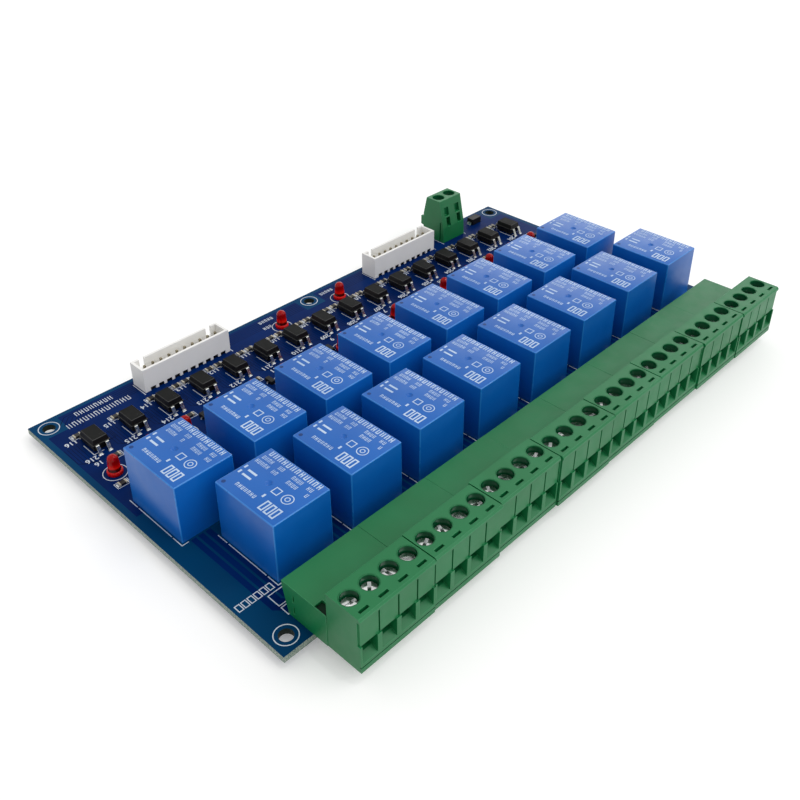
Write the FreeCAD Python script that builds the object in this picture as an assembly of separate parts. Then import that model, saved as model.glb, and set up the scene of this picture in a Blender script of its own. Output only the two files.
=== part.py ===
import FreeCAD, Part
import os

# Sixteen-channel relay module board: a printed circuit board with two staggered rows of
# sealed relays, a bank of pluggable screw terminals along its front edge, an optocoupler for
# each channel behind the relays, and the input and supply connectors along its rear edge.
# The origin is the centre of the corner mounting holes on the board's underside. +X runs
# along the terminal bank, -Y is the terminal side, +Z is up.

V = FreeCAD.Vector

# Circuit board
board_length = 178.0
board_width = 98.0
board_thickness = 1.6
mount_hole_diameter = 3.2
mount_hole_inset = 3.7

# Sides that the small round features which repeat are drawn with
well_sides = 12
screw_sides = 8
lamp_sides = 8

# Channels
channel_count = 16
relay_row_count = channel_count // 2

# Relays
relay_width = 15.3
relay_depth = 19.1
relay_height = 15.4
relay_edge_chamfer = 0.45
rear_row_left_margin = 3.9
rear_row_right_margin = 11.8
front_row_stagger = 7.2

# Relay pins, measured from the rear end of the relay
relay_pin_protrusion = 2.0
common_pin_from_rear = 2.4
coil_pin_behind_common = 2.0
contact_pin_behind_common = 14.2
outer_pin_spacing = 12.0
contact_pin_width = 1.0
contact_pin_thickness = 0.5
coil_pin_width = 0.6

# Pluggable terminal bank
terminal_module_count = 8
poles_per_module = 4
pole_pitch = 5.08
module_gap = 0.05
module_end_margin = 0.01
header_height = 8.3
header_depth = 12.1
header_mouth_overhang = 3.2
header_wall_top = 0.8
header_wall_bottom = 0.9
header_wall_side = 0.6
header_wall_rear = 3.4
header_rear_slant = 1.6
header_rear_lip = 1.3
contact_space_before = 0.75
contact_space_height = 5.4
contact_size = 1.0
contact_height = 4.2
contact_mouth_inset = 3.4
contact_drop_from_rear = 2.6
contact_protrusion = 1.8

# Screw plugs
plug_height = 14.3
plug_block_depth = 9.1
plug_end_clearance = 0.12
plug_tongue_clearance = 0.1
plug_tongue_end_gap = 0.1
plug_socket_size = 1.5
plug_socket_depth = 8.4
plug_front_chamfer = 0.4
plug_withdrawals = (0.8, 0.55, 0.05, 0.5, 0.3, 0.15, 0.6, 0.8)
screw_well_diameter = 4.0
screw_well_from_rear = 3.8
screw_clearance = 0.15
screw_sink = 1.6
test_slot_length = 2.4
test_slot_width = 0.7
test_slot_depth = 2.5
test_slot_from_front = 1.2
wire_mouth_width = 3.9
wire_mouth_bottom = 2.4
wire_mouth_top = 7.0
wire_mouth_ramp_rise = 1.0
wire_mouth_ramp_depth = 1.6
clamp_plate_thickness = 0.8
clamp_plate_length = 4.4
clamp_plate_from_front = 2.8
panel_top = 13.3
panel_recess = 0.35
panel_groove_width = 0.4
panel_groove_depth = 0.8
lip_groove_height = 1.2
lip_groove_width = 0.3
lip_groove_depth = 0.4

# Optocouplers
opto_left_margin = 8.7
opto_right_margin = 10.3
opto_width = 4.6
opto_depth = 6.5
opto_height = 3.6
opto_draft = 0.3
opto_lead_spacing = 2.54
opto_lead_width = 1.0
opto_lead_thickness = 0.3
opto_lead_reach = 0.9
opto_lead_splay = 0.6

# Indicator lamps; each channel lamp is fitted by hand, so its step from its optocoupler varies
lamp_diameter = 3.0
lamp_height = 5.3
lamp_tip_height = 1.2
lamp_tip_diameter = 1.8
lamps_before_optos = (2.4, 3.0, 3.5, 3.8, 4.0, 4.2, 4.3, 4.3,
                      4.4, 4.4, 4.3, 4.2, 4.1, 4.0, 4.0, 3.9)
power_lamp_left_margin = 74.2
power_lamp_right_margin = 81.1

# Chip resistors, transistors and diodes, placed in X from their channel's optocoupler
chip_length = 2.0
chip_width = 1.25
chip_height = 0.55
rear_chip_step = -1.7
second_rear_chip_step = -4.7
second_rear_chip_first_channel = 3
drive_chip_step = 1.0
lamp_chip_step = -3.3
transistor_length = 2.9
transistor_width = 1.4
transistor_height = 1.1
transistor_step = 3.2
relay_diode_length = 2.7
relay_diode_width = 1.5
relay_diode_height = 1.1
relay_diode_step = 0.5
supply_diode_length = 4.3
supply_diode_width = 2.6
supply_diode_height = 2.1
supply_diode_right_margin = 13.5

# Input connectors
input_header_length = 27.4
input_header_depth = 5.8
input_header_height = 7.0
input_header_wall = 0.75
input_header_floor = 2.2
input_header_left_margin = 28.6
input_header_right_margin = 38.2
input_header_rear_margin = 2.6
input_pole_count = 10
input_pitch = 2.5
input_pin_size = 0.64
input_pin_height = 6.2
input_slot_width = 1.6
input_slot_depth = 3.0
input_slot_from_end = 3.1
input_relief_height = 1.0
input_relief_width = 1.6

# Supply terminal
supply_right_margin = 22.4
supply_width = 10.2
supply_rear_overhang = 1.6
supply_foot_depth = 9.4
supply_block_height = 5.2
supply_block_lean = 0.3
supply_rear_kink_height = 8.2
supply_top_front_inset = 2.3
supply_top_rear_inset = 1.3
supply_height = 14.3
supply_pitch = 5.08
supply_well_depth = 6.0
supply_window_width = 2.1
supply_window_bottom = 8.8
supply_window_top = 11.7
supply_window_depth = 2.3
supply_latch_width = 1.7
supply_latch_offset = 0.4
supply_latch_top = 8.3
supply_latch_depth = 2.8
supply_mouth_width = 3.9
supply_mouth_bottom = 1.4
supply_mouth_top = 6.0
supply_mouth_depth = 4.0
supply_groove_from_front = 1.5
supply_groove_size = 0.5
supply_groove_height = 7.0
supply_rib_width = 0.8
supply_rib_reach = 1.1
supply_rib_bottom = 3.4
supply_rib_top = 7.4
supply_rib_ease = 0.5

# Rows of parts, as shares of the board's width from its front edge
front_relay_row_share = 0.1520
rear_relay_row_share = 0.3878
relay_diode_row_share = 0.6143
lamp_chip_row_share = 0.6500
lamp_row_share = 0.6960
transistor_row_share = 0.7163
drive_chip_row_share = 0.7490
opto_row_share = 0.8245
rear_chip_row_share = 0.8827
power_lamp_row_share = 0.9100
supply_diode_row_share = 0.9510

# Positions derived from the sizes above
left_edge = -board_length / 2
front_edge = -board_width / 2
board_top = board_thickness
module_length = poles_per_module * pole_pitch + 2 * module_end_margin
module_pitch = module_length + module_gap
bank_left = -(terminal_module_count * module_pitch - module_gap) / 2
header_mouth = front_edge - header_mouth_overhang
header_rear = header_mouth + header_depth
header_cavity_depth = header_depth - header_rear_slant - header_wall_rear
plug_tongue_depth = header_cavity_depth - plug_tongue_end_gap
screw_diameter = screw_well_diameter - 2 * screw_clearance
input_header_front = -front_edge - input_header_rear_margin - input_header_depth
input_header_lefts = (left_edge + input_header_left_margin,
                      -left_edge - input_header_right_margin - input_header_length)
supply_left = -left_edge - supply_right_margin - supply_width
supply_front = -front_edge + supply_rear_overhang - supply_foot_depth


def box(x0, x1, y0, y1, z0, z1):
    """A block between two corners."""
    return Part.makeBox(x1 - x0, y1 - y0, z1 - z0, V(x0, y0, z0))


def centred_box(x, y, width, depth, z0, z1):
    """A block centred on a point of the plan."""
    return box(x - width / 2, x + width / 2, y - depth / 2, y + depth / 2, z0, z1)


def side_profile(points, x0, x1):
    """A solid with the given outline in Y and Z, drawn out along X."""
    corners = [V(x0, y, z) for y, z in points]
    face = Part.Face(Part.makePolygon(corners + corners[:1]))
    return face.extrude(V(x1 - x0, 0, 0))


def front_profile(points, y0, y1):
    """A solid with the given outline in X and Z, drawn out along Y."""
    corners = [V(x, y0, z) for x, z in points]
    face = Part.Face(Part.makePolygon(corners + corners[:1]))
    return face.extrude(V(0, y1 - y0, 0))


def turned(x, y, sides, sections):
    """A small upright round piece with flat sides, through sections of height and diameter."""
    rings = []
    for z, diameter in sections:
        turns = [FreeCAD.Rotation(V(0, 0, 1), 360 * side / sides) for side in range(sides + 1)]
        rings.append([V(x, y, z) + turn.multVec(V(diameter / 2, 0, 0)) for turn in turns])
    outlines = [rings[0], rings[-1]]
    for low, high in zip(rings, rings[1:]):
        for a in range(sides):
            outlines.append([low[a], low[a + 1], high[a + 1], high[a], low[a]])
    faces = [Part.Face(Part.makePolygon(outline)) for outline in outlines]
    return Part.makeSolid(Part.makeShell(faces))


def round_bar(x, y, sides, diameter, z0, z1):
    return turned(x, y, sides, ((z0, diameter), (z1, diameter)))


def row_line(share):
    """Y of a row of parts."""
    return front_edge + share * board_width


def relay_corners():
    """Left front corner of each relay in plan, channel by channel."""
    room = board_length - rear_row_left_margin - rear_row_right_margin - relay_width
    corners = []
    for index in range(relay_row_count):
        x = left_edge + rear_row_left_margin + index * room / (relay_row_count - 1)
        corners.append((x, row_line(rear_relay_row_share)))
        corners.append((x + front_row_stagger, row_line(front_relay_row_share)))
    return corners


def relay_pin_plan(corner):
    """Centre, width and depth of each of a relay's five pins."""
    centre = corner[0] + relay_width / 2
    common = corner[1] + relay_depth - common_pin_from_rear
    side = outer_pin_spacing / 2
    pins = [(centre, common, contact_pin_width, contact_pin_thickness)]
    for x in (centre - side, centre + side):
        pins.append((x, common - coil_pin_behind_common, coil_pin_width, coil_pin_width))
        pins.append((x, common - contact_pin_behind_common, contact_pin_width,
                     contact_pin_thickness))
    return pins


def module_left(module):
    return bank_left + module * module_pitch


def pole_centre(module, pole):
    return module_left(module) + module_end_margin + (pole + 0.5) * pole_pitch


def input_pin_row(left):
    """Plan position of every pin of the input connector with this left end."""
    first = left + (input_header_length - (input_pole_count - 1) * input_pitch) / 2
    y = input_header_front + input_header_depth / 2
    return [(first + pole * input_pitch, y) for pole in range(input_pole_count)]


def supply_pole_centres():
    middle = supply_left + supply_width / 2
    return (middle - supply_pitch / 2, middle + supply_pitch / 2)


def supply_well_line():
    """Y of the wells and pins of the supply terminal, midway across its top."""
    front = supply_front + supply_top_front_inset
    rear = supply_front + supply_foot_depth - supply_top_rear_inset
    return (front + rear) / 2


def opto_centre(channel):
    room = board_length - opto_left_margin - opto_right_margin
    return left_edge + opto_left_margin + channel * room / (channel_count - 1)


def contact_drop():
    return header_rear - contact_drop_from_rear


def circuit_board():
    """The board with its mounting holes: one in each corner, one midway along the rear."""
    board = box(left_edge, -left_edge, front_edge, -front_edge, 0, board_thickness)
    x = board_length / 2 - mount_hole_inset
    y = board_width / 2 - mount_hole_inset
    holes = []
    for place in ((-x, -y), (x, -y), (-x, y), (x, y), (0, y)):
        radius = mount_hole_diameter / 2
        holes.append(Part.makeCylinder(radius, board_thickness, V(place[0], place[1], 0)))
    return board.cut(Part.makeCompound(holes))


def relay(corner):
    """A sealed relay: its case with eased top edges."""
    x, y = corner
    case = box(x, x + relay_width, y, y + relay_depth, board_top, board_top + relay_height)
    roof = board_top + relay_height
    eased = [e for e in case.Edges if e.BoundBox.ZMin > roof - relay_edge_chamfer]
    return case.makeChamfer(relay_edge_chamfer, eased)


def relay_pins():
    """The ends of the relays' pins, proud of the board's underside."""
    pins = []
    for corner in relay_corners():
        for px, py, width, depth in relay_pin_plan(corner):
            pins.append(centred_box(px, py, width, depth, -relay_pin_protrusion, 0))
    return pins


def output_header(module):
    """The right-angle socket of one terminal module: open towards the front for its plug,
    and at the rear where its contacts bend down to the board."""
    x0 = module_left(module)
    x1 = x0 + module_length
    base = board_top
    roof = base + header_height
    slant_top = roof - header_rear_lip
    outline = [(header_mouth, base), (header_rear - header_rear_slant, base),
               (header_rear, slant_top), (header_rear, roof), (header_mouth, roof)]
    shell = side_profile(outline, x0, x1)
    inner_rear = header_mouth + header_cavity_depth
    cuts = [box(x0 + header_wall_side, x1 - header_wall_side, header_mouth, inner_rear,
                base + header_wall_bottom, roof - header_wall_top)]
    space_front = contact_drop() - contact_space_before
    cuts.append(box(x0 + header_wall_side, x1 - header_wall_side, space_front, header_rear,
                    base, base + contact_space_height))
    for pole in range(poles_per_module):
        cuts.append(centred_box(pole_centre(module, pole), (inner_rear + space_front) / 2,
                                contact_size, space_front - inner_rear,
                                base + contact_height - contact_size / 2,
                                base + contact_height + contact_size / 2))
    return shell.cut(Part.makeCompound(cuts))


def header_contact(px):
    """A bent contact: level through the header's wall, then down to the board."""
    level = board_top + contact_height
    half = contact_size / 2
    rear = contact_drop() + half
    front = header_mouth + contact_mouth_inset
    outline = [(front, level - half), (rear - contact_size, level - half),
               (rear - contact_size, board_top), (rear, board_top),
               (rear, level + half), (front, level + half)]
    return side_profile(outline, px - half, px + half)


def pin_end(px, py, size):
    """The end of a connector's pin, proud of the board's underside."""
    return centred_box(px, py, size, size, -contact_protrusion, 0)


def plug_front(module):
    """Y of a plug's front face; each plug is pushed home by a different amount."""
    return header_mouth - plug_block_depth - plug_withdrawals[module]


def screw_place(module, pole):
    rear = plug_front(module) + plug_block_depth
    return pole_centre(module, pole), rear - screw_well_from_rear


def wire_mouth(px, front):
    """The wire entry of one pole, with its ramped floor, to the end of its clamp."""
    half = wire_mouth_width / 2
    inner_floor = board_top + wire_mouth_bottom + wire_mouth_ramp_rise
    roof = board_top + wire_mouth_top
    ramp_end = front + wire_mouth_ramp_depth
    clamp_end = front + clamp_plate_from_front + clamp_plate_length
    outline = [(front, board_top + wire_mouth_bottom), (ramp_end, inner_floor),
               (clamp_end, inner_floor), (clamp_end, roof), (front, roof)]
    return side_profile(outline, px - half, px + half)


def output_plug(module):
    """A four-pole screw plug, seated in its header."""
    left_end = module_left(module)
    right_end = left_end + module_length
    x0 = left_end + plug_end_clearance
    x1 = right_end - plug_end_clearance
    base = board_top
    roof = base + plug_height
    front = plug_front(module)
    rear = front + plug_block_depth
    gap = plug_tongue_clearance
    chamfer = plug_front_chamfer
    block = side_profile([(front, base), (rear, base), (rear, roof),
                          (front + chamfer, roof), (front, roof - chamfer)], x0, x1)
    tongue = box(left_end + header_wall_side + gap, right_end - header_wall_side - gap,
                 rear, rear + plug_tongue_depth,
                 base + header_wall_bottom + gap, base + header_height - header_wall_top - gap)
    cuts = [box(x0, x1, front, front + lip_groove_depth,
                base + lip_groove_height, base + lip_groove_height + lip_groove_width),
            box(x0, x1, front, front + panel_recess, base + wire_mouth_top, base + panel_top)]
    for pole in range(poles_per_module):
        px, py = screw_place(module, pole)
        left = px - pole_pitch / 2
        cuts.append(round_bar(px, py, well_sides, screw_well_diameter,
                              base + wire_mouth_top, roof))
        slot_y = front + test_slot_from_front + test_slot_width / 2
        cuts.append(centred_box(px, slot_y, test_slot_length, test_slot_width,
                                roof - test_slot_depth, roof))
        cuts.append(wire_mouth(px, front))
        cuts.append(box(left, left + panel_groove_width, front, front + panel_groove_depth,
                        base + wire_mouth_top, base + panel_top))
        socket_end = rear + plug_tongue_depth
        cuts.append(centred_box(px, socket_end - plug_socket_depth / 2, plug_socket_size,
                                plug_socket_depth,
                                base + contact_height - plug_socket_size / 2,
                                base + contact_height + plug_socket_size / 2))
    return block.fuse(tongue).cut(Part.makeCompound(cuts)).removeSplitter()


def clamp_plate(module, pole):
    """The metal plate that a screw presses on one wire, at the roof of the wire entry."""
    px = pole_centre(module, pole)
    front = plug_front(module) + clamp_plate_from_front
    half = wire_mouth_width / 2
    roof = board_top + wire_mouth_top
    return box(px - half, px + half, front, front + clamp_plate_length,
               roof - clamp_plate_thickness, roof)


def clamping_screw(x, y, seat, roof):
    """A clamping screw between its seat and its driving end."""
    return round_bar(x, y, screw_sides, screw_diameter, seat, roof)


def optocoupler(channel):
    """The moulding of an optocoupler, drafted above and below its parting line."""
    x = opto_centre(channel)
    y = row_line(opto_row_share)

    def drafted(centre, size):
        low, high = centre - size / 2, centre + size / 2
        parting, roof = board_top + opto_height / 2, board_top + opto_height
        return [(low + opto_draft, board_top), (high - opto_draft, board_top), (high, parting),
                (high - opto_draft, roof), (low + opto_draft, roof), (low, parting)]

    along = front_profile(drafted(x, opto_width), y - opto_depth / 2, y + opto_depth / 2)
    across = side_profile(drafted(y, opto_depth), x - opto_width / 2, x + opto_width / 2)
    return along.common(across)


def opto_leads(channel):
    """The four bent leads of an optocoupler, from its parting line to the board."""
    y = row_line(opto_row_share)
    level = board_top + opto_height / 2
    thick = opto_lead_thickness
    leads = []
    for side in (-1, 1):
        edge = y + side * opto_depth / 2
        knee = edge + side * opto_lead_reach
        foot = knee + side * opto_lead_splay
        outline = [(edge, level - thick), (foot - side * thick, board_top),
                   (foot, board_top), (knee, level), (edge, level)]
        for place in (-0.5, 0.5):
            x = opto_centre(channel) + place * opto_lead_spacing
            leads.append(side_profile(outline, x - opto_lead_width / 2,
                                      x + opto_lead_width / 2))
    return leads


def lamp(x, y):
    """A round indicator lamp that narrows towards its end."""
    top = board_top + lamp_height
    return turned(x, y, lamp_sides, ((board_top, lamp_diameter),
                                     (top - lamp_tip_height, lamp_diameter),
                                     (top, lamp_tip_diameter)))


def input_header(left):
    """A shrouded pin connector, open at the top, with polarising slots in its rear wall."""
    x0 = left
    x1 = x0 + input_header_length
    y0 = input_header_front
    y1 = y0 + input_header_depth
    roof = board_top + input_header_height
    floor = board_top + input_header_floor
    wall = input_header_wall
    shell = box(x0, x1, y0, y1, board_top, roof)
    cuts = [box(x0 + wall, x1 - wall, y0 + wall, y1 - wall, floor, roof)]
    for px, py in input_pin_row(left):
        cuts.append(centred_box(px, y0 + wall / 2, input_relief_width, wall,
                                board_top, board_top + input_relief_height))
    for slot in (x0 + input_slot_from_end, x1 - input_slot_from_end):
        cuts.append(box(slot - input_slot_width / 2, slot + input_slot_width / 2,
                        y1 - wall, y1, roof - input_slot_depth, roof))
    return shell.cut(Part.makeCompound(cuts))


def supply_terminal():
    """The two-pole screw terminal for the supply, leaning in towards its top."""
    x0 = supply_left
    front = supply_front
    rear = front + supply_foot_depth
    block_top = board_top + supply_block_height
    roof = board_top + supply_height
    outline = [(front, board_top), (rear, board_top),
               (rear, board_top + supply_rear_kink_height),
               (rear - supply_top_rear_inset, roof), (front + supply_top_front_inset, roof),
               (front + supply_block_lean, block_top)]
    rib_outline = [(rear - supply_rib_reach, board_top + supply_rib_bottom),
                   (rear + supply_rib_reach, board_top + supply_rib_bottom + supply_rib_ease),
                   (rear + supply_rib_reach, board_top + supply_rib_top - supply_rib_ease),
                   (rear - supply_rib_reach, board_top + supply_rib_top)]
    rib = side_profile(rib_outline, x0, x0 + supply_rib_width)
    body = side_profile(outline, x0, x0 + supply_width).fuse(rib)
    groove = front + supply_groove_from_front
    cuts = [box(x0, x0 + supply_groove_size, groove, groove + supply_groove_size,
                board_top, board_top + supply_groove_height)]
    for px in supply_pole_centres():
        cuts.append(round_bar(px, supply_well_line(), well_sides, screw_well_diameter,
                              roof - supply_well_depth, roof))
        cuts.append(centred_box(px, front + supply_window_depth / 2, supply_window_width,
                                supply_window_depth, board_top + supply_window_bottom,
                                board_top + supply_window_top))
        cuts.append(centred_box(px + supply_latch_offset, front + supply_latch_depth / 2,
                                supply_latch_width, supply_latch_depth, block_top,
                                board_top + supply_latch_top))
        cuts.append(centred_box(px, rear - supply_mouth_depth / 2, supply_mouth_width,
                                supply_mouth_depth, board_top + supply_mouth_bottom,
                                board_top + supply_mouth_top))
    return body.cut(Part.makeCompound(cuts))


def chip(x, y, length, width, height):
    return centred_box(x, y, length, width, board_top, board_top + height)


def chip_resistors():
    chips = []
    for channel in range(channel_count):
        places = [(rear_chip_step, rear_chip_row_share), (drive_chip_step, drive_chip_row_share),
                  (lamp_chip_step, lamp_chip_row_share)]
        if channel >= second_rear_chip_first_channel:
            places.append((second_rear_chip_step, rear_chip_row_share))
        for step, share in places:
            chips.append(chip(opto_centre(channel) + step, row_line(share),
                              chip_length, chip_width, chip_height))
    return chips


def small_semiconductors():
    """A transistor and a diode for each relay, and the diode of the supply."""
    parts = []
    for channel in range(channel_count):
        middle = opto_centre(channel)
        parts.append(chip(middle + transistor_step, row_line(transistor_row_share),
                          transistor_width, transistor_length, transistor_height))
        parts.append(chip(middle + relay_diode_step, row_line(relay_diode_row_share),
                          relay_diode_length, relay_diode_width, relay_diode_height))
    parts.append(chip(-left_edge - supply_diode_right_margin, row_line(supply_diode_row_share),
                      supply_diode_length, supply_diode_width, supply_diode_height))
    return parts


def export(name, shapes):
    """Write one node, checked to be made of sound solids."""
    shape = shapes if isinstance(shapes, Part.Shape) else Part.makeCompound(shapes)
    for solid in shape.Solids:
        if not solid.isValid():
            raise ValueError(name + " has an unsound solid")
    shape.exportStep("parts/" + name + ".step")


os.makedirs("parts", exist_ok=True)
export("circuit_board", circuit_board())

for number, corner in enumerate(relay_corners(), start=1):
    export("relay_%02d" % number, relay(corner))
export("relay_pins", relay_pins())

contacts = []
screws = []
plates = []
clamp_roof = board_top + wire_mouth_top
screw_roof = board_top + plug_height - screw_sink
for module in range(terminal_module_count):
    export("output_header_%d" % (module + 1), output_header(module))
    export("output_plug_%d" % (module + 1), output_plug(module))
    for pole in range(poles_per_module):
        px = pole_centre(module, pole)
        contacts += [header_contact(px), pin_end(px, contact_drop(), contact_size)]
        screws.append(clamping_screw(*screw_place(module, pole), clamp_roof, screw_roof))
        plates.append(clamp_plate(module, pole))

supply_y = supply_well_line()
supply_roof = board_top + supply_height
for px in supply_pole_centres():
    screws.append(clamping_screw(px, supply_y, supply_roof - supply_well_depth,
                                supply_roof - screw_sink))
    contacts.append(pin_end(px, supply_y, contact_size))

input_pin_floor = board_top + input_header_floor
for number, left in enumerate(input_header_lefts, start=1):
    export("input_header_%d" % number, input_header(left))
    for px, py in input_pin_row(left):
        contacts += [pin_end(px, py, input_pin_size),
                     centred_box(px, py, input_pin_size, input_pin_size,
                                 input_pin_floor, board_top + input_pin_height)]
export("connector_pins", contacts)
export("terminal_screws", screws)
export("clamp_plates", plates)
export("supply_terminal", supply_terminal())

leads = []
lamps = []
for channel in range(channel_count):
    export("optocoupler_%02d" % (channel + 1), optocoupler(channel))
    leads += opto_leads(channel)
    lamps.append(lamp(opto_centre(channel) - lamps_before_optos[channel],
                      row_line(lamp_row_share)))
for x in (left_edge + power_lamp_left_margin, -left_edge - power_lamp_right_margin):
    lamps.append(lamp(x, row_line(power_lamp_row_share)))
export("optocoupler_leads", leads)
export("indicator_lamps", lamps)

export("chip_resistors", chip_resistors())
export("small_semiconductors", small_semiconductors())
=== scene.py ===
import math

import bmesh
import bpy
from mathutils import Matrix, Vector


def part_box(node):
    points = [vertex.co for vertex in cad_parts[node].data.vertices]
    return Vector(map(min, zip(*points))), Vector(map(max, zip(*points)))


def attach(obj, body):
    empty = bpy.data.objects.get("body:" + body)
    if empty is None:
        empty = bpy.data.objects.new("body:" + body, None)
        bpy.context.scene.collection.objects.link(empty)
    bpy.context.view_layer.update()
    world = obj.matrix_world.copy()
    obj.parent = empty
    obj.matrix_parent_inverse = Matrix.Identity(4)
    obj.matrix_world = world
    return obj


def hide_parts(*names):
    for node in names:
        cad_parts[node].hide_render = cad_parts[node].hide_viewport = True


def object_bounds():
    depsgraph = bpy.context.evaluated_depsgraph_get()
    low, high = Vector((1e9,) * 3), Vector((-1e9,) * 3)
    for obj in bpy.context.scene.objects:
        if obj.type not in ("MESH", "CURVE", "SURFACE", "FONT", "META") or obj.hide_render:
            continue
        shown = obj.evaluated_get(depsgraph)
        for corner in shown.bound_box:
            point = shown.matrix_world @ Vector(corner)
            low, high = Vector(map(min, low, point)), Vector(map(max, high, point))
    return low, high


# A sixteen-channel relay module board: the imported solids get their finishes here, and the
# printed legends, bent leads, lamps, screws, solder and other small parts are added to them.

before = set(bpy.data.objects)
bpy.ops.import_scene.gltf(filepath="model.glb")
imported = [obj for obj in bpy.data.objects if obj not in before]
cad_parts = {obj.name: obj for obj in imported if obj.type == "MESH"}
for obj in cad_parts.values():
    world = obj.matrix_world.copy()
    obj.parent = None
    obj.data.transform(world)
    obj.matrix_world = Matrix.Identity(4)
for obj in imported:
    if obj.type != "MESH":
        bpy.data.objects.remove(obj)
cad_low, cad_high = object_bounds()
mm = 0.001

# Levels and sizes read from the frame
board_low, board_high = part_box("circuit_board")
board_top = board_high.z
floor_level = cad_low.z
mount_hole_inset = 3.7 * mm
hole_x = board_high.x - mount_hole_inset
hole_y = board_high.y - mount_hole_inset

# Camera: from the left front, above the board, as the photograph was taken
camera_azimuth = -46.267
camera_elevation = 32.901
camera_roll = 0.191
camera_distance = 271.207 * mm
camera_target = Vector((7.765, 12.281, 1.6)) * mm
camera_focal_pixels = 945.157
picture_size = 800
sensor_width = 36.0
picture_centre = (405.613, 332.268)

# Floor and world
floor_half_width = 3.0
floor_glow = 0.25
world_strength = 0.68

# Printed legends
ink_height = 0.03 * mm
copper_height = 0.012 * mm
line_width = 0.22 * mm
chip_frame_width = 0.16 * mm
number_size = 2.15 * mm
number_weight = 0.04 * mm
letter_share = 0.62

# Moulded details
edge_break = 0.05 * mm
relay_roof_drop = 0.02 * mm
dimple_radius = 0.85 * mm
dimple_depth = 0.4 * mm
notch_left = 0.15 * mm
notch_right = 2.2 * mm
notch_length = 3.4 * mm
notch_depth = 1.2 * mm
well_liner_radius = 1.92 * mm
opto_seam = board_top + 2.1 * mm


def colour(red, green, blue):
    """A colour given as it looks on a screen, 0 to 255, in linear light."""
    channels = []
    for value in (red, green, blue):
        value = value / 255
        channels.append(value / 12.92 if value < 0.04045 else ((value + 0.055) / 1.055) ** 2.4)
    return (*channels, 1.0)


# Materials

def calculate(tree, operation, first, second=0.0):
    """The result of a math node, whose inputs are numbers or other nodes' outputs."""
    node = tree.nodes.new("ShaderNodeMath")
    node.operation = operation
    for socket, source in zip(node.inputs, (first, second)):
        if isinstance(source, float):
            socket.default_value = source
        else:
            tree.links.new(source, socket)
    return node.outputs["Value"]


class Finish:
    """A node material built round one shader, in the object's own coordinates."""

    def __init__(self, name, roughness, metallic=0.0, specular=0.5):
        self.material = bpy.data.materials.new(name)
        self.material.use_nodes = True
        self.tree = self.material.node_tree
        self.shader = self.tree.nodes["Principled BSDF"]
        self.shader.inputs["Roughness"].default_value = roughness
        self.shader.inputs["Metallic"].default_value = metallic
        self.shader.inputs["Specular IOR Level"].default_value = specular
        self.place = self.tree.nodes.new("ShaderNodeTexCoord").outputs["Object"]

    def link(self, source, target):
        self.tree.links.new(source, target)

    def noise(self, scale, detail=2.0, stretch=(1, 1, 1)):
        """Noise with features about 1/scale metres across."""
        mapping = self.tree.nodes.new("ShaderNodeMapping")
        mapping.inputs["Scale"].default_value = stretch
        noise = self.tree.nodes.new("ShaderNodeTexNoise")
        noise.inputs["Scale"].default_value = scale
        noise.inputs["Detail"].default_value = detail
        self.link(self.place, mapping.inputs["Vector"])
        self.link(mapping.outputs["Vector"], noise.inputs["Vector"])
        return noise.outputs["Fac"]

    def ramp(self, factor, *stops):
        """Blends screen colours along a factor; each stop is a place and a colour."""
        ramp = self.tree.nodes.new("ShaderNodeValToRGB")
        elements = ramp.color_ramp.elements
        for element, (place, shade) in zip(elements, (stops[0], stops[-1])):
            element.position = place
            element.color = colour(*shade)
        for place, shade in stops[1:-1]:
            elements.new(place).color = colour(*shade)
        self.link(factor, ramp.inputs["Fac"])
        return ramp.outputs["Color"]

    def mix(self, factor, first, second):
        """Mixes two colour outputs by a factor output."""
        mix = self.tree.nodes.new("ShaderNodeMix")
        mix.data_type = "RGBA"
        self.link(factor, mix.inputs["Factor"])
        self.link(first, mix.inputs["A"])
        self.link(second, mix.inputs["B"])
        return mix.outputs["Result"]

    def part(self, vector, axis):
        """A vector's part along an axis."""
        split = self.tree.nodes.new("ShaderNodeSeparateXYZ")
        self.link(vector, split.inputs["Vector"])
        return split.outputs[axis]

    def above(self, vector, axis, limit):
        """One where a vector's part along an axis is larger than a limit, either way."""
        size = calculate(self.tree, "ABSOLUTE", self.part(vector, axis))
        return calculate(self.tree, "GREATER_THAN", size, limit)

    def spread(self, value, source, target=(0, 1)):
        """Carries a value from one range over to another."""
        node = self.tree.nodes.new("ShaderNodeMapRange")
        names = ("From Min", "From Max", "To Min", "To Max")
        for name, limit in zip(names, (*source, *target)):
            node.inputs[name].default_value = limit
        self.link(value, node.inputs["Value"])
        return node.outputs["Result"]

    def tint(self, first, second, scale):
        """Colours the surface with two shades in soft patches."""
        self.link(self.ramp(self.noise(scale), (0.35, first), (0.65, second)),
                  self.shader.inputs["Base Color"])

    def grain(self, scale, height):
        """A fine relief with features about 1/scale metres across."""
        bump = self.tree.nodes.new("ShaderNodeBump")
        bump.inputs["Strength"].default_value = 0.5
        bump.inputs["Distance"].default_value = height
        self.link(self.noise(scale), bump.inputs["Height"])
        self.link(bump.outputs["Normal"], self.shader.inputs["Normal"])

    def wear(self, scale, low, high):
        """Roughness that wanders between two values."""
        self.link(self.spread(self.noise(scale), (0.3, 0.7), (low, high)),
                  self.shader.inputs["Roughness"])


def moulded(name, first, second, rough, shine=0.4, grain_height=0.006 * mm, grain_scale=2500):
    """A moulded plastic in two close shades with a fine grain."""
    finish = Finish(name, rough, specular=shine)
    finish.tint(first, second, 90)
    finish.wear(300, rough - 0.05, rough + 0.05)
    finish.grain(grain_scale, grain_height)
    return finish.material


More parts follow.
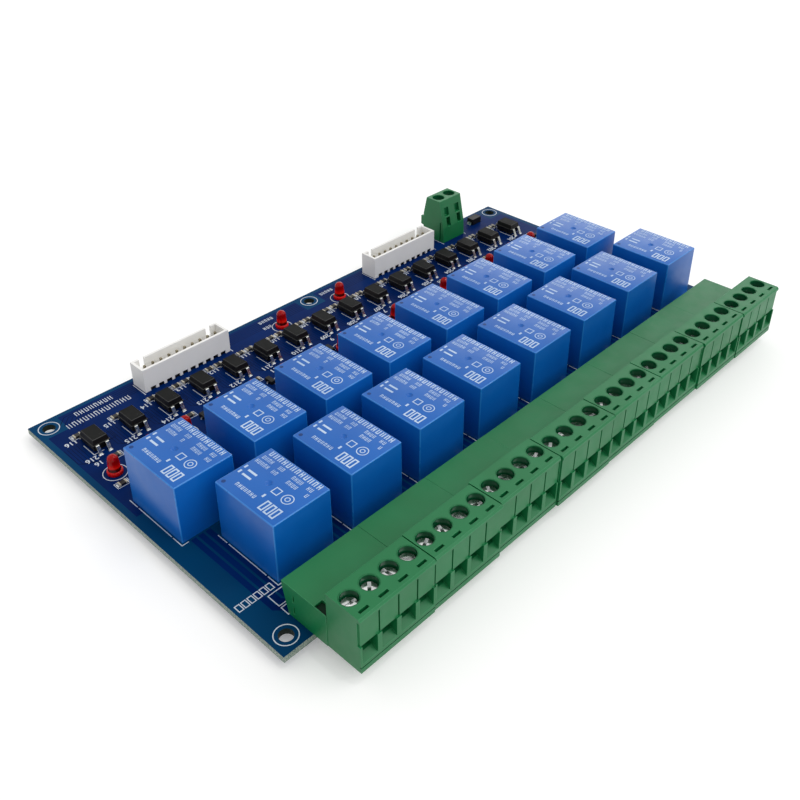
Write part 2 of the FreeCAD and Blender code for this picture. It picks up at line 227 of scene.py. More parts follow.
def plated(name, first, second, rough, grain_height=0.01 * mm):
    """A plated or tinned metal with a slightly uneven polish."""
    finish = Finish(name, rough, metallic=1.0)
    finish.tint(first, second, 1200)
    finish.wear(1500, rough - 0.06, rough + 0.08)
    finish.grain(3000, grain_height)
    return finish.material


def mask_on_glass(name):
    """Blue solder mask on both faces, cut glass fibre round the edge, hole walls dark as painted
    shade.
    """
    finish = Finish(name, 0.38, specular=0.03)
    mask = finish.ramp(finish.noise(35), (0.3, (1, 54, 92)), (0.7, (3, 63, 103)))
    glass = finish.ramp(finish.noise(4200, 3.0, (1, 1, 0.6)), (0.34, (92, 116, 112)),
                        (0.66, (176, 182, 170)))
    # Hole walls: the glass fibre painted dark, as painted shade inside the holes.
    wall = finish.ramp(finish.noise(900), (0.3, (34, 44, 40)), (0.7, (48, 58, 52)))
    geometry = finish.tree.nodes.new("ShaderNodeNewGeometry")
    edge_band = 0.3 * mm
    flat = finish.above(geometry.outputs["True Normal"], "Z", 0.6)
    side = finish.above(finish.place, "X", board_high.x - edge_band)
    front = finish.above(finish.place, "Y", board_high.y - edge_band)
    rim = finish.mix(side, finish.mix(front, wall, glass), glass)
    finish.link(finish.mix(flat, rim, mask), finish.shader.inputs["Base Color"])
    finish.wear(220, 0.3, 0.42)
    finish.grain(900, 0.01 * mm)
    return finish.material


def mask_over_copper(name):
    """The same mask where copper lies under it, a little stronger in colour."""
    finish = Finish(name, 0.36, specular=0.03)
    finish.tint((0, 30, 84), (1, 37, 95), 60)
    finish.wear(300, 0.3, 0.42)
    finish.grain(1200, 0.015 * mm)
    return finish.material


def clear_red(name, base, top):
    """Red epoxy of a lamp: painted shade, dark round the metal cup inside, painted highlight
    above and below.
    """
    finish = Finish(name, 0.07, specular=0.12)
    level = finish.spread(finish.part(finish.place, "Z"), (base, top))
    # Bands by height: the dark band is painted shade round the cup, the bright bands painted
    # highlight.
    shades = finish.ramp(level, (0.0, (188, 10, 10)), (0.19, (206, 12, 10)), (0.22, (62, 1, 2)),
                         (0.34, (78, 1, 2)), (0.41, (232, 26, 10)), (0.5, (216, 10, 6)),
                         (0.62, (166, 3, 4)), (0.8, (152, 3, 5)), (1.0, (172, 8, 9)))
    finish.link(shades, finish.shader.inputs["Base Color"])
    finish.shader.inputs["Transmission Weight"].default_value = 0.08
    finish.wear(900, 0.05, 0.09)
    finish.grain(1500, 0.001 * mm)
    return finish.material


mask = mask_on_glass("solder_mask")
copper_mask = mask_over_copper("solder_mask_over_copper")
gap_mask = moulded("solder_mask_over_glass", (0, 15, 50), (1, 20, 58), 0.4, 0.03)
relay_blue = moulded("relay_blue", (4, 92, 178), (8, 98, 185), 0.34)
# Lighter blue for the relays' rounded roof edges: a painted highlight.
relay_edge_highlight = moulded("relay_blue_edge", (28, 118, 200), (36, 126, 208), 0.3, 0.6)
terminal_green = moulded("terminal_green", (14, 108, 59), (19, 114, 65), 0.4, 0.35, 0.012 * mm)
# Lighter green for eased edges and the plugs' front chamfers: a painted highlight.
green_painted_highlight = moulded("terminal_green_painted_highlight", (50, 138, 88), (58, 146, 96), 0.35)
# Darker green for the walls down the screw wells: painted shade.
well_painted_shade_green = moulded("well_painted_shade_green", (7, 74, 42), (11, 84, 50), 0.25, 0.15, 0.002 * mm, 900)
# Near-black green for the groove low on the plugs' front and the header notches: painted shadow.
shadow_green = moulded("painted_shadow_green", (2, 30, 16), (4, 38, 20), 0.6, 0.1)
black = moulded("moulded_black", (15, 15, 15), (22, 21, 20), 0.42, 0.2)
charcoal = moulded("laser_dulled_black", (14, 15, 15), (20, 21, 20), 0.6, 0.12)
# Lighter grey on the optocouplers' seam lip and roof chamfer: a painted highlight, not wear.
seam_painted_highlight_grey = moulded("black_edge_painted_highlight", (50, 51, 49), (62, 62, 60), 0.45, 0.3)
white = moulded("connector_white", (240, 239, 236), (246, 245, 242), 0.5, 0.3)
ink = moulded("white_ink", (196, 204, 214), (214, 220, 228), 0.6, 0.2)
relay_ink = moulded("pale_blue_ink", (176, 198, 226), (196, 214, 236), 0.6, 0.2)
# Dark blue for the relays' pips: painted shade standing for a small hollow.
pip_painted_shade_blue = moulded("pip_painted_shade_blue", (8, 52, 110), (12, 60, 124), 0.5, 0.3)
ceramic = moulded("chip_black", (24, 22, 22), (36, 34, 32), 0.35)
chip_cream = moulded("chip_end_cream", (178, 170, 148), (200, 192, 172), 0.45)
lens_red = clear_red("lamp_epoxy_painted_light", board_top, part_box("indicator_lamps")[1].z)
steel = plated("zinc_plated_steel", (196, 198, 198), (226, 227, 226), 0.14, 0.003 * mm)
tin = plated("bright_tin", (186, 188, 186), (216, 217, 214), 0.3)
lead_tin = plated("lead_tin", (150, 152, 147), (184, 185, 180), 0.26)
brass = plated("tinned_brass", (128, 120, 100), (158, 150, 128), 0.36)
solder = plated("solder", (176, 178, 180), (206, 208, 210), 0.3)


# Mesh building

def finished(bm, name, material, smooth_angle=None):
    """Turns built geometry into a piece of the object."""
    bmesh.ops.recalc_face_normals(bm, faces=bm.faces)
    mesh = bpy.data.meshes.new(name)
    bm.to_mesh(mesh)
    bm.free()
    mesh.materials.append(material)
    piece = bpy.data.objects.new(name, mesh)
    bpy.context.scene.collection.objects.link(piece)
    if smooth_angle is not None:
        for polygon in mesh.polygons:
            polygon.use_smooth = True
        mesh.set_sharp_from_angle(angle=math.radians(smooth_angle))
    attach(piece, "root")
    return piece


def ring_at(bm, plan, height):
    """Vertices over the points of a plan, all at one height."""
    return [bm.verts.new((x, y, height)) for x, y in plan]


def walls(bm, low, high):
    """Faces between two rings of as many vertices."""
    return [bm.faces.new((low[a - 1], low[a], high[a], high[a - 1])) for a in range(len(low))]


def rectangle(low, high, inset=0.0):
    """The plan of an upright box, drawn in by an inset."""
    left, front, right, rear = low[0] + inset, low[1] + inset, high[0] - inset, high[1] - inset
    return [(left, front), (right, front), (right, rear), (left, rear)]


def block(bm, low, high):
    """An upright block between two corners; gives the vertices of its roof."""
    plan = rectangle(low, high)
    base, roof = ring_at(bm, plan, low[2]), ring_at(bm, plan, high[2])
    bm.faces.new(base[::-1])
    bm.faces.new(roof)
    walls(bm, base, roof)
    return roof


def path(bm, points, width, base, height=copper_height):
    """A flat line through several points of the plan, mitred at its corners."""
    points = [Vector(point) for point in points]
    runs = [(after - before).normalized() for before, after in zip(points, points[1:])]
    left, right = [], []
    for point, before, after in zip(points, runs[:1] + runs, runs + runs[-1:]):
        along = (before + after).normalized()
        side = Vector((-along.y, along.x)) * width / 2 / max(along.dot(before), 0.3)
        left.append(point + side)
        right.append(point - side)
    outline = left + right[::-1]
    low, high = ring_at(bm, outline, base), ring_at(bm, outline, base + height)
    walls(bm, low, high)
    for a in range(len(points) - 1):
        bm.faces.new((high[a], high[a + 1], high[-2 - a], high[-1 - a]))


def strip(bm, start, end, width, base, height=ink_height):
    """A flat printed line between two points of the plan, half its width past both."""
    start, end = Vector(start), Vector(end)
    past = (end - start).normalized() * width / 2
    path(bm, [start - past, end + past], width, base, height)


def frame_lines(bm, low, high, width, base, height=ink_height, closed=True):
    """The left and right side of a rectangle, and where it is closed its front and back."""
    for x in (low[0], high[0]):
        strip(bm, (x, low[1]), (x, high[1]), width, base, height)
    if closed:
        for y in (low[1], high[1]):
            strip(bm, (low[0] + width, y), (high[0] - width, y), width, base, height)


def around(centre, radius, angles):
    """Points of the plan on a circle, at some angles."""
    return [(centre[0] + radius * math.cos(angle), centre[1] + radius * math.sin(angle))
            for angle in angles]


def turned(bm, centre, profile, steps):
    """A turned form through points of radius and height, closed where a radius is zero."""
    rings = []
    for radius, height in profile:
        angles = [2 * math.pi * step / steps for step in range(steps if radius else 1)]
        rings.append(ring_at(bm, around(centre, radius, angles), height))
    for low, high in zip(rings, rings[1:]):
        if len(low) == len(high):
            walls(bm, low, high)
            continue
        tip, ring = (low, high) if len(low) == 1 else (high, low)
        for a in range(steps):
            bm.faces.new((tip[0], ring[a - 1], ring[a]))


def flat_ring(bm, centre, inner, outer, base, height=ink_height, steps=48):
    """A printed ring."""
    turned(bm, centre, ((outer, base), (outer, base + height), (inner, base + height),
                        (inner, base)), steps)


def extruded(bm, outline, axis, start, end):
    """A solid whose outline is drawn in the plane across an axis (0 for X, 1 for Y)."""
    def point(pair, along):
        return (along, pair[0], pair[1]) if axis == 0 else (pair[0], along, pair[1])

    first, second = ([bm.verts.new(point(pair, along)) for pair in outline]
                     for along in (start, end))
    bm.faces.new(first)
    bm.faces.new(second[::-1])
    walls(bm, first, second)


def stacked(bm, low, high, levels, cap, edges):
    """A block of rectangles one above another, each a height and an inset from the box.

    The roof takes the material numbered cap, the bands named in edges the third one.
    """
    rings = [ring_at(bm, rectangle(low, high, inset), height) for height, inset in levels]
    bm.faces.new(rings[0][::-1])
    bm.faces.new(rings[-1]).material_index = cap
    for step, (lower, upper) in enumerate(zip(rings, rings[1:])):
        for face in walls(bm, lower, upper):
            face.material_index = 2 if step in edges else 0


def solids(node):
    """Lowest and highest corner of each separate solid in a CAD node."""
    bm = bmesh.new()
    bm.from_mesh(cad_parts[node].data)
    bmesh.ops.remove_doubles(bm, verts=bm.verts, dist=1e-6)
    seen = set()
    boxes = []
    for start in bm.verts:
        if start in seen:
            continue
        seen.add(start)
        group = [start]
        for vertex in group:
            for edge in vertex.link_edges:
                other = edge.other_vert(vertex)
                if other not in seen:
                    seen.add(other)
                    group.append(other)
        axes = list(zip(*(vertex.co for vertex in group)))
        boxes.append((Vector([min(axis) for axis in axes]), Vector([max(axis) for axis in axes])))
    bm.free()
    return sorted(boxes, key=lambda pair: (round(pair[0].y, 5), pair[0].x, pair[0].z))


def boxes_of(nodes):
    """Lowest and highest corner of each CAD node in a list."""
    return [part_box(node) for node in nodes]


def middle(pair):
    """The centre of a box given by its two corners."""
    return (pair[0] + pair[1]) / 2


def numeral(bm, text, centre, base):
    """A plain printed number that reads from behind, centred on a point of the plan."""
    curve = bpy.data.curves.new("numeral", "FONT")
    curve.body = text
    curve.size = number_size
    curve.align_x = curve.align_y = "CENTER"
    curve.resolution_u = 3
    curve.offset = number_weight
    curve.extrude = ink_height / 2
    shape = bpy.data.objects.new("numeral", curve)
    mesh = bpy.data.meshes.new_from_object(shape)
    for vertex in mesh.vertices:
        x, y, z = vertex.co
        vertex.co = (centre[0] - x, centre[1] - y, base + ink_height / 2 + z)
    bm.from_mesh(mesh)
    bpy.data.objects.remove(shape)
    bpy.data.curves.remove(curve)
    bpy.data.meshes.remove(mesh)


def rounded(piece, width, segments):
    """Rounds the corners of a piece."""
    bevel = piece.modifiers.new("rounded", "BEVEL")
    bevel.width = width
    bevel.segments = segments
    return bevel


def ease_edges(piece, width, segments=2, edge=None):
    """Softens a piece's sharp edges; where a second material is given, the bevels take it as a
    painted highlight.
    """
    bevel = rounded(piece, width, segments)
    bevel.angle_limit = math.radians(35)
    if edge:
        piece.data.materials.append(edge)
        bevel.material = 1


def cut(piece, cutter_bm):
    """Takes a closed form out of a piece."""
    bmesh.ops.recalc_face_normals(cutter_bm, faces=cutter_bm.faces)
    cutter_mesh = bpy.data.meshes.new("cutter")
    cutter_bm.to_mesh(cutter_mesh)
    cutter_bm.free()
    cutter = bpy.data.objects.new("cutter", cutter_mesh)
    bpy.context.scene.collection.objects.link(cutter)
    difference = piece.modifiers.new("cut", "BOOLEAN")
    difference.object = cutter
    difference.solver = "EXACT"
    graph = bpy.context.evaluated_depsgraph_get()
    mesh = bpy.data.meshes.new_from_object(piece.evaluated_get(graph))
    piece.modifiers.clear()
    piece.data = mesh
    bpy.data.objects.remove(cutter)


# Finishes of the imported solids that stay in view

def dress(node, material, ease, segments=2, edge=None):
    """Gives a CAD node its finish and softens its edges."""
    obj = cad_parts[node]
    if obj.material_slots:
        for place in obj.material_slots:
            place.material = material
    else:
        obj.data.materials.append(material)
    weld = obj.modifiers.new("joined", "WELD")
    weld.merge_threshold = 1e-6
    flat = obj.modifiers.new("flat", "DECIMATE")
    flat.decimate_type = "DISSOLVE"
    flat.angle_limit = math.radians(1)
    ease_edges(obj, ease, segments, edge)


relays = ["relay_%02d" % number for number in range(1, 17)]
optos = ["optocoupler_%02d" % number for number in range(1, 17)]
headers = ["output_header_%d" % number for number in range(1, 9)]
plugs = ["output_plug_%d" % number for number in range(1, 9)]
input_headers = ["input_header_1", "input_header_2"]

dress("circuit_board", mask, 0.08 * mm, 1)
# Bevels of the plugs and the supply terminal take the lighter green: a painted highlight.
for node in plugs + ["supply_terminal"]:
    dress(node, terminal_green, edge_break, 1, green_painted_highlight)
for node in input_headers:
    dress(node, white, 0.08 * mm)
dress("relay_pins", tin, 0.08 * mm)
dress("connector_pins", brass, 0.12 * mm)
dress("clamp_plates", steel, 0.1 * mm)
dress("chip_resistors", ceramic, 0.06 * mm)
dress("small_semiconductors", black, 0.1 * mm)


# Relay cases

def relay_case(node):
    """A relay's case, a shade smaller towards its roof, with a shallow round dimple."""
    draft, rounding, dimple_back, rings = 0.1 * mm, 0.24 * mm, 1.05 * mm, 6
    low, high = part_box(node)
    centre = middle((low, high))
    roof = high.z - relay_roof_drop
    bm = bmesh.new()
    for vertex in block(bm, low, (high.x, high.y, roof)):
        vertex.co.x += math.copysign(draft, centre.x - vertex.co.x)
        vertex.co.y += math.copysign(draft, centre.y - vertex.co.y)
    sharp = [e for e in bm.edges if max(v.co.z for v in e.verts) > roof - 1e-6]
    # The rounded roof edges take the second, lighter blue: a painted highlight.
    bmesh.ops.bevel(bm, geom=sharp, offset=rounding, segments=4, affect="EDGES",
                    profile=0.5, material=1)
    case = finished(bm, node.replace("relay", "relay_case"), relay_blue, 30)
    case.data.materials.append(relay_edge_highlight)
    bottom, above = roof - dimple_depth, high.z + 1 * mm
    sphere = (dimple_radius ** 2 + dimple_depth ** 2) / (2 * dimple_depth)
    bowl = [(0, bottom)]
    for step in range(1, rings + 1):
        radius = dimple_radius * step / rings
        bowl.append((radius, bottom + sphere - math.sqrt(sphere ** 2 - radius ** 2)))
    bowl += [(dimple_radius, above), (0, above)]
    dimple = bmesh.new()
    turned(dimple, (centre.x, centre.y + dimple_back), bowl, 32)
    cut(case, dimple)
    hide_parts(node)


for node in relays:
    relay_case(node)


# Plain marks printed on the relays' roofs

def stroke_row(bm, start, end, height, pitch, stroke, base, seed):
    """A row of short strokes in twos and threes, as long and as dense as a row of print."""
    start, end = Vector(start), Vector(end)
    along = (end - start).normalized()
    across = Vector((-along.y, along.x))
    reach = height / 2 - stroke / 2
    wide = pitch * letter_share
    for cell in range(int((end - start).length / pitch)):
        origin = start + along * (cell * pitch)
        kind = (cell * 7 + seed * 5) % 4
        for offset in (stroke / 2, wide - stroke / 2):
            place = origin + along * offset
            strip(bm, place - across * reach, place + across * reach, stroke, base)
        if kind != 3:
            place = origin + across * (kind - 1) * reach
            strip(bm, place + along * stroke * 1.5, place + along * (wide - stroke * 1.5),
                  stroke, base)


def relay_print():
    """Rows of strokes, a ring, a frame and bars, as dense as the print on such a case."""
    bm = bmesh.new()
    # Millimetres from the case's front left corner: X, both ends in Y, pitch, height, stroke
    small = ((12.2, 2.2, 4.0, 0.9), (12.2, 5.4, 8.7, 0.82), (12.2, 11.3, 13.1, 0.9),
             (12.2, 14.8, 18.3, 0.86), (10.5, 1.8, 3.6, 0.9), (10.5, 5.2, 9.3, 0.82),
             (10.5, 11.5, 13.3, 0.9), (10.5, 14.3, 18.5, 0.84))
    rows = [(14.05, 1.6, 18.2, 1.38, 1.5, 0.26)] + [(*row, 1.1, 0.14) for row in small]
    rows.append((3.0, 9.3, 15.8, 0.92, 1.0, 0.17))
    for low, high in boxes_of(relays):
        base = high.z - relay_roof_drop - ink_height / 2

        def place(x, y):
            return (low.x + x * mm, low.y + y * mm)

        for seed, (x, y0, y1, pitch, height, stroke) in enumerate(rows, start=1):
            stroke_row(bm, place(x, y0), place(x, y1), height * mm, pitch * mm, stroke * mm,
                       base, seed)
        ring = place(7.1, 4.0)
        flat_ring(bm, ring, 1.2 * mm, 1.42 * mm, base, steps=32)
        flat_ring(bm, ring, 0.45 * mm, 0.65 * mm, base, steps=24)
        frame_lines(bm, place(6.3, 6.6), place(8.0, 8.3), 0.24 * mm, base)
        for x in (5.7, 7.3):
            strip(bm, place(x, 14.4), place(x, 16.6), 0.55 * mm, base)
        for y in (2.6, 4.3, 6.0):
            frame_lines(bm, place(1.5, y - 0.5), place(4.1, y + 0.5), 0.36 * mm, base)
        for x, y in ((7.4, 18.1), (5.6, 17.9), (4.3, 8.4)):
            strip(bm, place(x, y), place(x + 0.5, y), 0.5 * mm, base)
    piece = finished(bm, "relay_print", relay_ink)


def relay_pips():
    """A small moulded pip near one corner of each relay's roof, in dark blue as painted shade."""
    bm = bmesh.new()
    radius, proud, from_left, from_rear = 0.5 * mm, 0.01 * mm, 1.5 * mm, 1.3 * mm
    for low, high in boxes_of(relays):
        roof = high.z - relay_roof_drop
        turned(bm, (low.x + from_left, high.y - from_rear),
               ((radius, roof - 0.05 * mm), (radius, roof + 0.4 * proud),
                (0.8 * radius, roof + proud), (0, roof + 0.8 * proud)), 20)
    piece = finished(bm, "relay_pips", pip_painted_shade_blue, 40)


relay_print()
relay_pips()


# Headers, each reaching the shoulder of its plug

def plug_shoulder(plug):
    """Where the rear face of a plug's block stands."""
    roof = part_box(plug)[1].z
    return max(vertex.co.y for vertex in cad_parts[plug].data.vertices
               if vertex.co.z > roof - 0.1 * mm)


def header_shell(node, plug):
    """A header with a key notch beside its plug and two slots in its left end."""
    slot_rear, slot_front, slot_depth = 3.16 * mm, 3.52 * mm, 0.5 * mm
    past = 1 * mm
    low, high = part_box(node)
    shoulder = plug_shoulder(plug) + 0.02 * mm
    bm = bmesh.new()
    bm.from_mesh(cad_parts[node].data)
    bmesh.ops.remove_doubles(bm, verts=bm.verts, dist=1e-6)
    bmesh.ops.dissolve_limit(bm, angle_limit=math.radians(1), verts=bm.verts, edges=bm.edges)
    for vertex in bm.verts:
        if vertex.co.y < low.y + 0.05 * mm:
            vertex.co.y = shoulder
    shell = finished(bm, node.replace("output_header", "header_shell"), terminal_green)
    openings = bmesh.new()
    block(openings, (low.x + notch_left, shoulder - past, high.z - notch_depth),
          (low.x + notch_right, shoulder + notch_length, high.z + past))
    for bottom, top in ((1.25, 3.0), (4.4, 6.1)):
        block(openings, (low.x - past, high.y - slot_front, board_top + bottom * mm),
              (low.x + slot_depth, high.y - slot_rear, board_top + top * mm))
    cut(shell, openings)
    # Its bevels take the lighter green: a painted highlight.
    ease_edges(shell, edge_break, 1, green_painted_highlight)
    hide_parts(node)


for node, plug in zip(headers, plugs):
    header_shell(node, plug)


# Optocouplers

def opto_bodies():
    """Bodies drafted above and below a thin seam, with a dull roof and a shallow round mark."""
    bm, rings = bmesh.new(), bmesh.new()
    stand_off, edge = 0.3 * mm, 0.1 * mm
    for low, high in boxes_of(optos):
        roof = high.z - 0.015 * mm
        # Bands 3 and 5, the seam lip's upper face and the roof's chamfer, take the lighter grey:
        # a painted highlight.
        stacked(bm, low, high,
                ((board_top + stand_off, 0.36 * mm), (opto_seam - edge, 0.14 * mm),
                 (opto_seam - edge, 0), (opto_seam + 0.06 * mm, 0),
                 (opto_seam + edge, 0.16 * mm), (roof - edge, 0.44 * mm),
                 (roof, 0.54 * mm)), 1, (3, 5))
        flat_ring(rings, (high.x - 1.35 * mm, low.y + 1.5 * mm), 0.36 * mm, 0.44 * mm,
                  roof - 0.002 * mm, 0.012 * mm, 24)
    bodies = finished(bm, "optocoupler_bodies", black)
    bodies.data.materials.append(charcoal)
    bodies.data.materials.append(seam_painted_highlight_grey)
    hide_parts(*optos)
    finished(rings, "optocoupler_marks", black)


def bent_strip(bm, centreline, thickness, x0, x1):
    """A bent strip of even thickness that follows points in Y and Z."""
    outer, inner = [], []
    for index, point in enumerate(centreline):
        before = Vector(centreline[max(index - 1, 0)])
        after = Vector(centreline[min(index + 1, len(centreline) - 1)])
        run = (after - before).normalized()
        side = Vector((-run.y, run.x)) * thickness / 2
        outer.append(Vector(point) + side)
        inner.append(Vector(point) - side)
    extruded(bm, outer + inner[::-1], 0, x0, x1)


def opto_leads():
    """Each lead leaves the body at its seam, bends down at the knee and ends in a foot."""
    thick, side_trim = 0.26 * mm, 0.05 * mm
    inside, knee_reach, bend, bend_angle, steps = 0.4 * mm, 0.42 * mm, 0.24 * mm, 68, 4
    joint_side, joint_height, joint_taper = 0.1 * mm, 0.16 * mm, 0.35
    bm, fillets = bmesh.new(), bmesh.new()
    body_low, body_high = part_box(optos[0])
    for low, high in solids("optocoupler_leads"):
        front = high.y < (body_low.y + body_high.y) / 2
        out = -1 if front else 1
        face = body_low.y if front else body_high.y
        foot = low.y if front else high.y
        turn = face + out * (knee_reach - bend)
        points = [(face - out * inside, opto_seam), (turn, opto_seam)]
        for step in range(1, steps + 1):
            angle = math.radians(bend_angle * step / steps)
            points.append((turn + out * bend * math.sin(angle),
                           opto_seam - bend * (1 - math.cos(angle))))
        points += [(foot - out * 0.42 * mm, board_top + 0.46 * mm),
                   (foot - out * 0.26 * mm, board_top + 0.22 * mm),
                   (foot, board_top + 0.14 * mm)]
        bent_strip(bm, points, thick, low.x + side_trim, high.x - side_trim)
        heel, toe = foot - out * 0.55 * mm, foot + out * 0.22 * mm
        centre = Vector((middle((low, high)).x, (heel + toe) / 2))
        roof = block(fillets, (low.x - joint_side, min(heel, toe), board_top),
                     (high.x + joint_side, max(heel, toe), board_top + joint_height))
        for vertex in roof:
            vertex.co.xy = vertex.co.xy.lerp(centre, joint_taper)
    leads = finished(bm, "optocoupler_bent_leads", lead_tin, 40)
    rounded(leads, 0.04 * mm, 2)
    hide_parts("optocoupler_leads")
    joints = finished(fillets, "optocoupler_solder", solder, 80)
    rounded(joints, 0.06 * mm, 3)


opto_bodies()
opto_leads()


# Painted shade in the connectors' openings, plug grooves and header notches; painted highlight on
# the plugs' chamfers

def connector_openings():
    """Painted shade: black blocks at the back of the reliefs in the pin connectors' front wall.
    """
    bm = bmesh.new()
    half, front, rear, height = 0.8 * mm, 0.3 * mm, 0.74 * mm, 0.98 * mm
    pins = [pair for pair in solids("connector_pins") if pair[1].z > board_top]
    for low, high in boxes_of(input_headers):
        for pair in pins:
            x = middle(pair).x
            if low.x < pair[0].x < high.x and low.y < middle(pair).y < high.y:
                block(bm, (x - half, low.y + front, board_top),
                      (x + half, low.y + rear, board_top + height))
    finished(bm, "connector_openings", black)


def plug_joints():
    """Painted shadow: a dark green strip in the groove low on each plug's front and a dark green
    block in each header's notch.
    """
    bm = bmesh.new()
    trim, slack = 0.02 * mm, 0.05 * mm
    for low, high in boxes_of(plugs):
        block(bm, (low.x + trim, low.y + 0.1 * mm, board_top + 1.21 * mm),
              (high.x - trim, low.y + 0.39 * mm, board_top + 1.49 * mm))
    for node, plug in zip(headers, plugs):
        low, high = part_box(node)
        shoulder = plug_shoulder(plug)
        block(bm, (low.x + notch_left + slack, shoulder + 0.03 * mm,
                   high.z - notch_depth + 2 * slack),
              (low.x + notch_right - slack, shoulder + notch_length - slack,
               high.z - 0.55 * mm))
    finished(bm, "plug_joints", shadow_green)


def plug_front_edges():
    """A lighter green skin over the narrow chamfer along the upper front edge of each plug: a
    painted highlight.
    """
    bm = bmesh.new()
    size, lift, skin, trim = 0.4 * mm, 0.006 * mm, 0.01 * mm, 0.06 * mm
    for low, high in boxes_of(plugs):
        extruded(bm, [(low.y + skin, high.z - size), (low.y + size, high.z - skin),
                      (low.y + size + lift, high.z - 3 * skin),
                      (low.y + 3 * skin, high.z - size - lift)], 0, low.x + trim, high.x - trim)
    finished(bm, "plug_front_edges", green_painted_highlight)


connector_openings()
plug_joints()
plug_front_edges()


# Lamps: a flange, a round body with a domed end, and the metal cup inside

def lamp_profile(base, height):
    """Radius and height along the outside of a lamp, up to the top of its dome."""
    flange, body, tip, steps = 1.9 * mm, 1.5 * mm, 1.34 * mm, 12
    points = [(0, base), (flange - 0.08 * mm, base), (flange, base + 0.08 * mm),
              (flange, base + 0.85 * mm), (flange - 0.1 * mm, base + 0.98 * mm),
              (body + 0.06 * mm, base + 1.02 * mm), (body, base + 1.1 * mm)]
    spring = base + height - tip
    for step in range(steps):
        angle = math.radians(90 * step / steps)
        points.append((tip * math.cos(angle), spring + tip * math.sin(angle)))
    points.append((0, base + height))
    return points


def lamps():
    """Every lamp's lens, and inside it two posts and the cup that holds the die."""
    lens, cups = bmesh.new(), bmesh.new()
    post, post_out, post_foot, post_top = 0.28 * mm, 0.55 * mm, 0.1 * mm, 2.1 * mm
    cup_left, cup_floor, cup_rim = 0.35 * mm, 2.35 * mm, 2.7 * mm
    for low, high in solids("indicator_lamps"):
        x, y, _ = middle((low, high))
        turned(lens, (x, y), lamp_profile(board_top, high.z - board_top), 40)
        for px in (x - post_out, x + post_out):
            block(cups, (px - post, y - post / 2, board_top + post_foot),
                  (px + post, y + post / 2, board_top + post_top))
        turned(cups, (x - cup_left, y), [(radius, board_top + height) for radius, height in (
            (0, post_top), (0.35 * mm, post_top), (0.6 * mm, cup_rim), (0.45 * mm, cup_rim),
            (0.2 * mm, cup_floor), (0, cup_floor))], 20)
    cover = finished(lens, "lamp_lenses", lens_red, 50)
    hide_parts("indicator_lamps")
    inside = finished(cups, "lamp_cups", tin, 50)


lamps()


# Clamping screws and the walls of their wells, in darker green as painted shade

def screw_heads():
    """Round screws, each with a slot that runs right across its head."""
    bm = bmesh.new()
    sides, steps, crown, half_slot, depth = 36, 16, 0.25 * mm, 0.36 * mm, 0.75 * mm
    for index, (low, high) in enumerate(solids("terminal_screws")):
        x, y, _ = middle((low, high))
        radius, top = (high.y - low.y) / 2, high.z
        rim = radius - crown
        turned(bm, (x, y), [(0, low.z), (radius * 0.8, low.z), (radius * 0.8, top - 1.6 * mm),
                            (radius, top - 1.5 * mm), (radius, top - crown),
                            (radius - 0.1 * mm, top - 0.08 * mm), (rim, top)], sides)
        turned(bm, (x, y), ((rim, top), (rim, top - depth), (0, top - depth)), sides)
        slot_angle = math.radians((index * 47) % 180)
        reach = math.asin(half_slot / rim)
        for side in (0, math.pi):
            first, swing = slot_angle + side + reach, math.pi - 2 * reach
            arc = around((x, y), rim, [first + swing * step / steps for step in range(steps + 1)])
            roof = ring_at(bm, arc, top)
            floor = ring_at(bm, (arc[0], arc[-1]), top - depth)
            bm.faces.new(roof)
            bm.faces.new((roof[0], floor[0], floor[1], roof[-1]))
    piece = finished(bm, "screw_heads", steel, 35)
    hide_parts("terminal_screws")


def well_walls():
    """A smooth wall down each well, darker green as painted shade, and a rounded rim at its
    mouth.
    """
    liners, rims = bmesh.new(), bmesh.new()
    bore, wall, rim_width, rim_drop = well_liner_radius, 0.06 * mm, 0.18 * mm, 0.24 * mm
    screws = solids("terminal_screws")
    for low, high in boxes_of(plugs + ["supply_terminal"]):
        roof = high.z
        for pair in screws:
            x, y, _ = middle(pair)
            if not (low.x < x < high.x and low.y < y < high.y):
                continue
            floor = pair[1].z - 2.5 * mm
            turned(liners, (x, y), ((bore + wall, floor), (bore, floor), (bore, roof - rim_drop),
                                    (bore + wall, roof - rim_drop)), 40)
            turned(rims, (x, y), ((bore, roof - rim_drop), (bore + 0.01 * mm, roof - 0.1 * mm),
                                  (bore + 0.05 * mm, roof - 0.03 * mm), (bore + 0.12 * mm, roof),
                                  (bore + rim_width, roof), (bore + rim_width, roof - rim_drop)),
                   40)
    finished(liners, "well_liners_painted_shade", well_painted_shade_green, 50)
    finished(rims, "well_rims", terminal_green, 50)


screw_heads()
well_walls()


# Ends of the chips, legs of the transistors and diodes

def chip_ends():
    """A metal cap on both ends of each chip, and the solder that holds it."""
    ends, fillets = bmesh.new(), bmesh.new()
    cap, past, trim, toe_reach, fillet = 0.38 * mm, 0.03 * mm, 0.05 * mm, 0.5 * mm, 0.12 * mm
    lap = 0.02 * mm
    for low, high in solids("chip_resistors"):
        for x, side in ((low.x, -1), (high.x, 1)):
            inner, outer, toe = x - side * cap, x + side * past, x + side * toe_reach
            block(ends, (min(inner, outer), low.y - lap, board_top),
                  (max(inner, outer), high.y + lap, high.z + lap))
            extruded(fillets, [(outer, board_top), (toe, board_top),
                               (outer + side * fillet, board_top + fillet),
                               (outer, high.z - fillet)], 1, low.y + trim, high.y - trim)
    caps = finished(ends, "chip_ends", chip_cream)
    rounded(caps, 0.05 * mm, 2)
    finished(fillets, "chip_solder", solder)


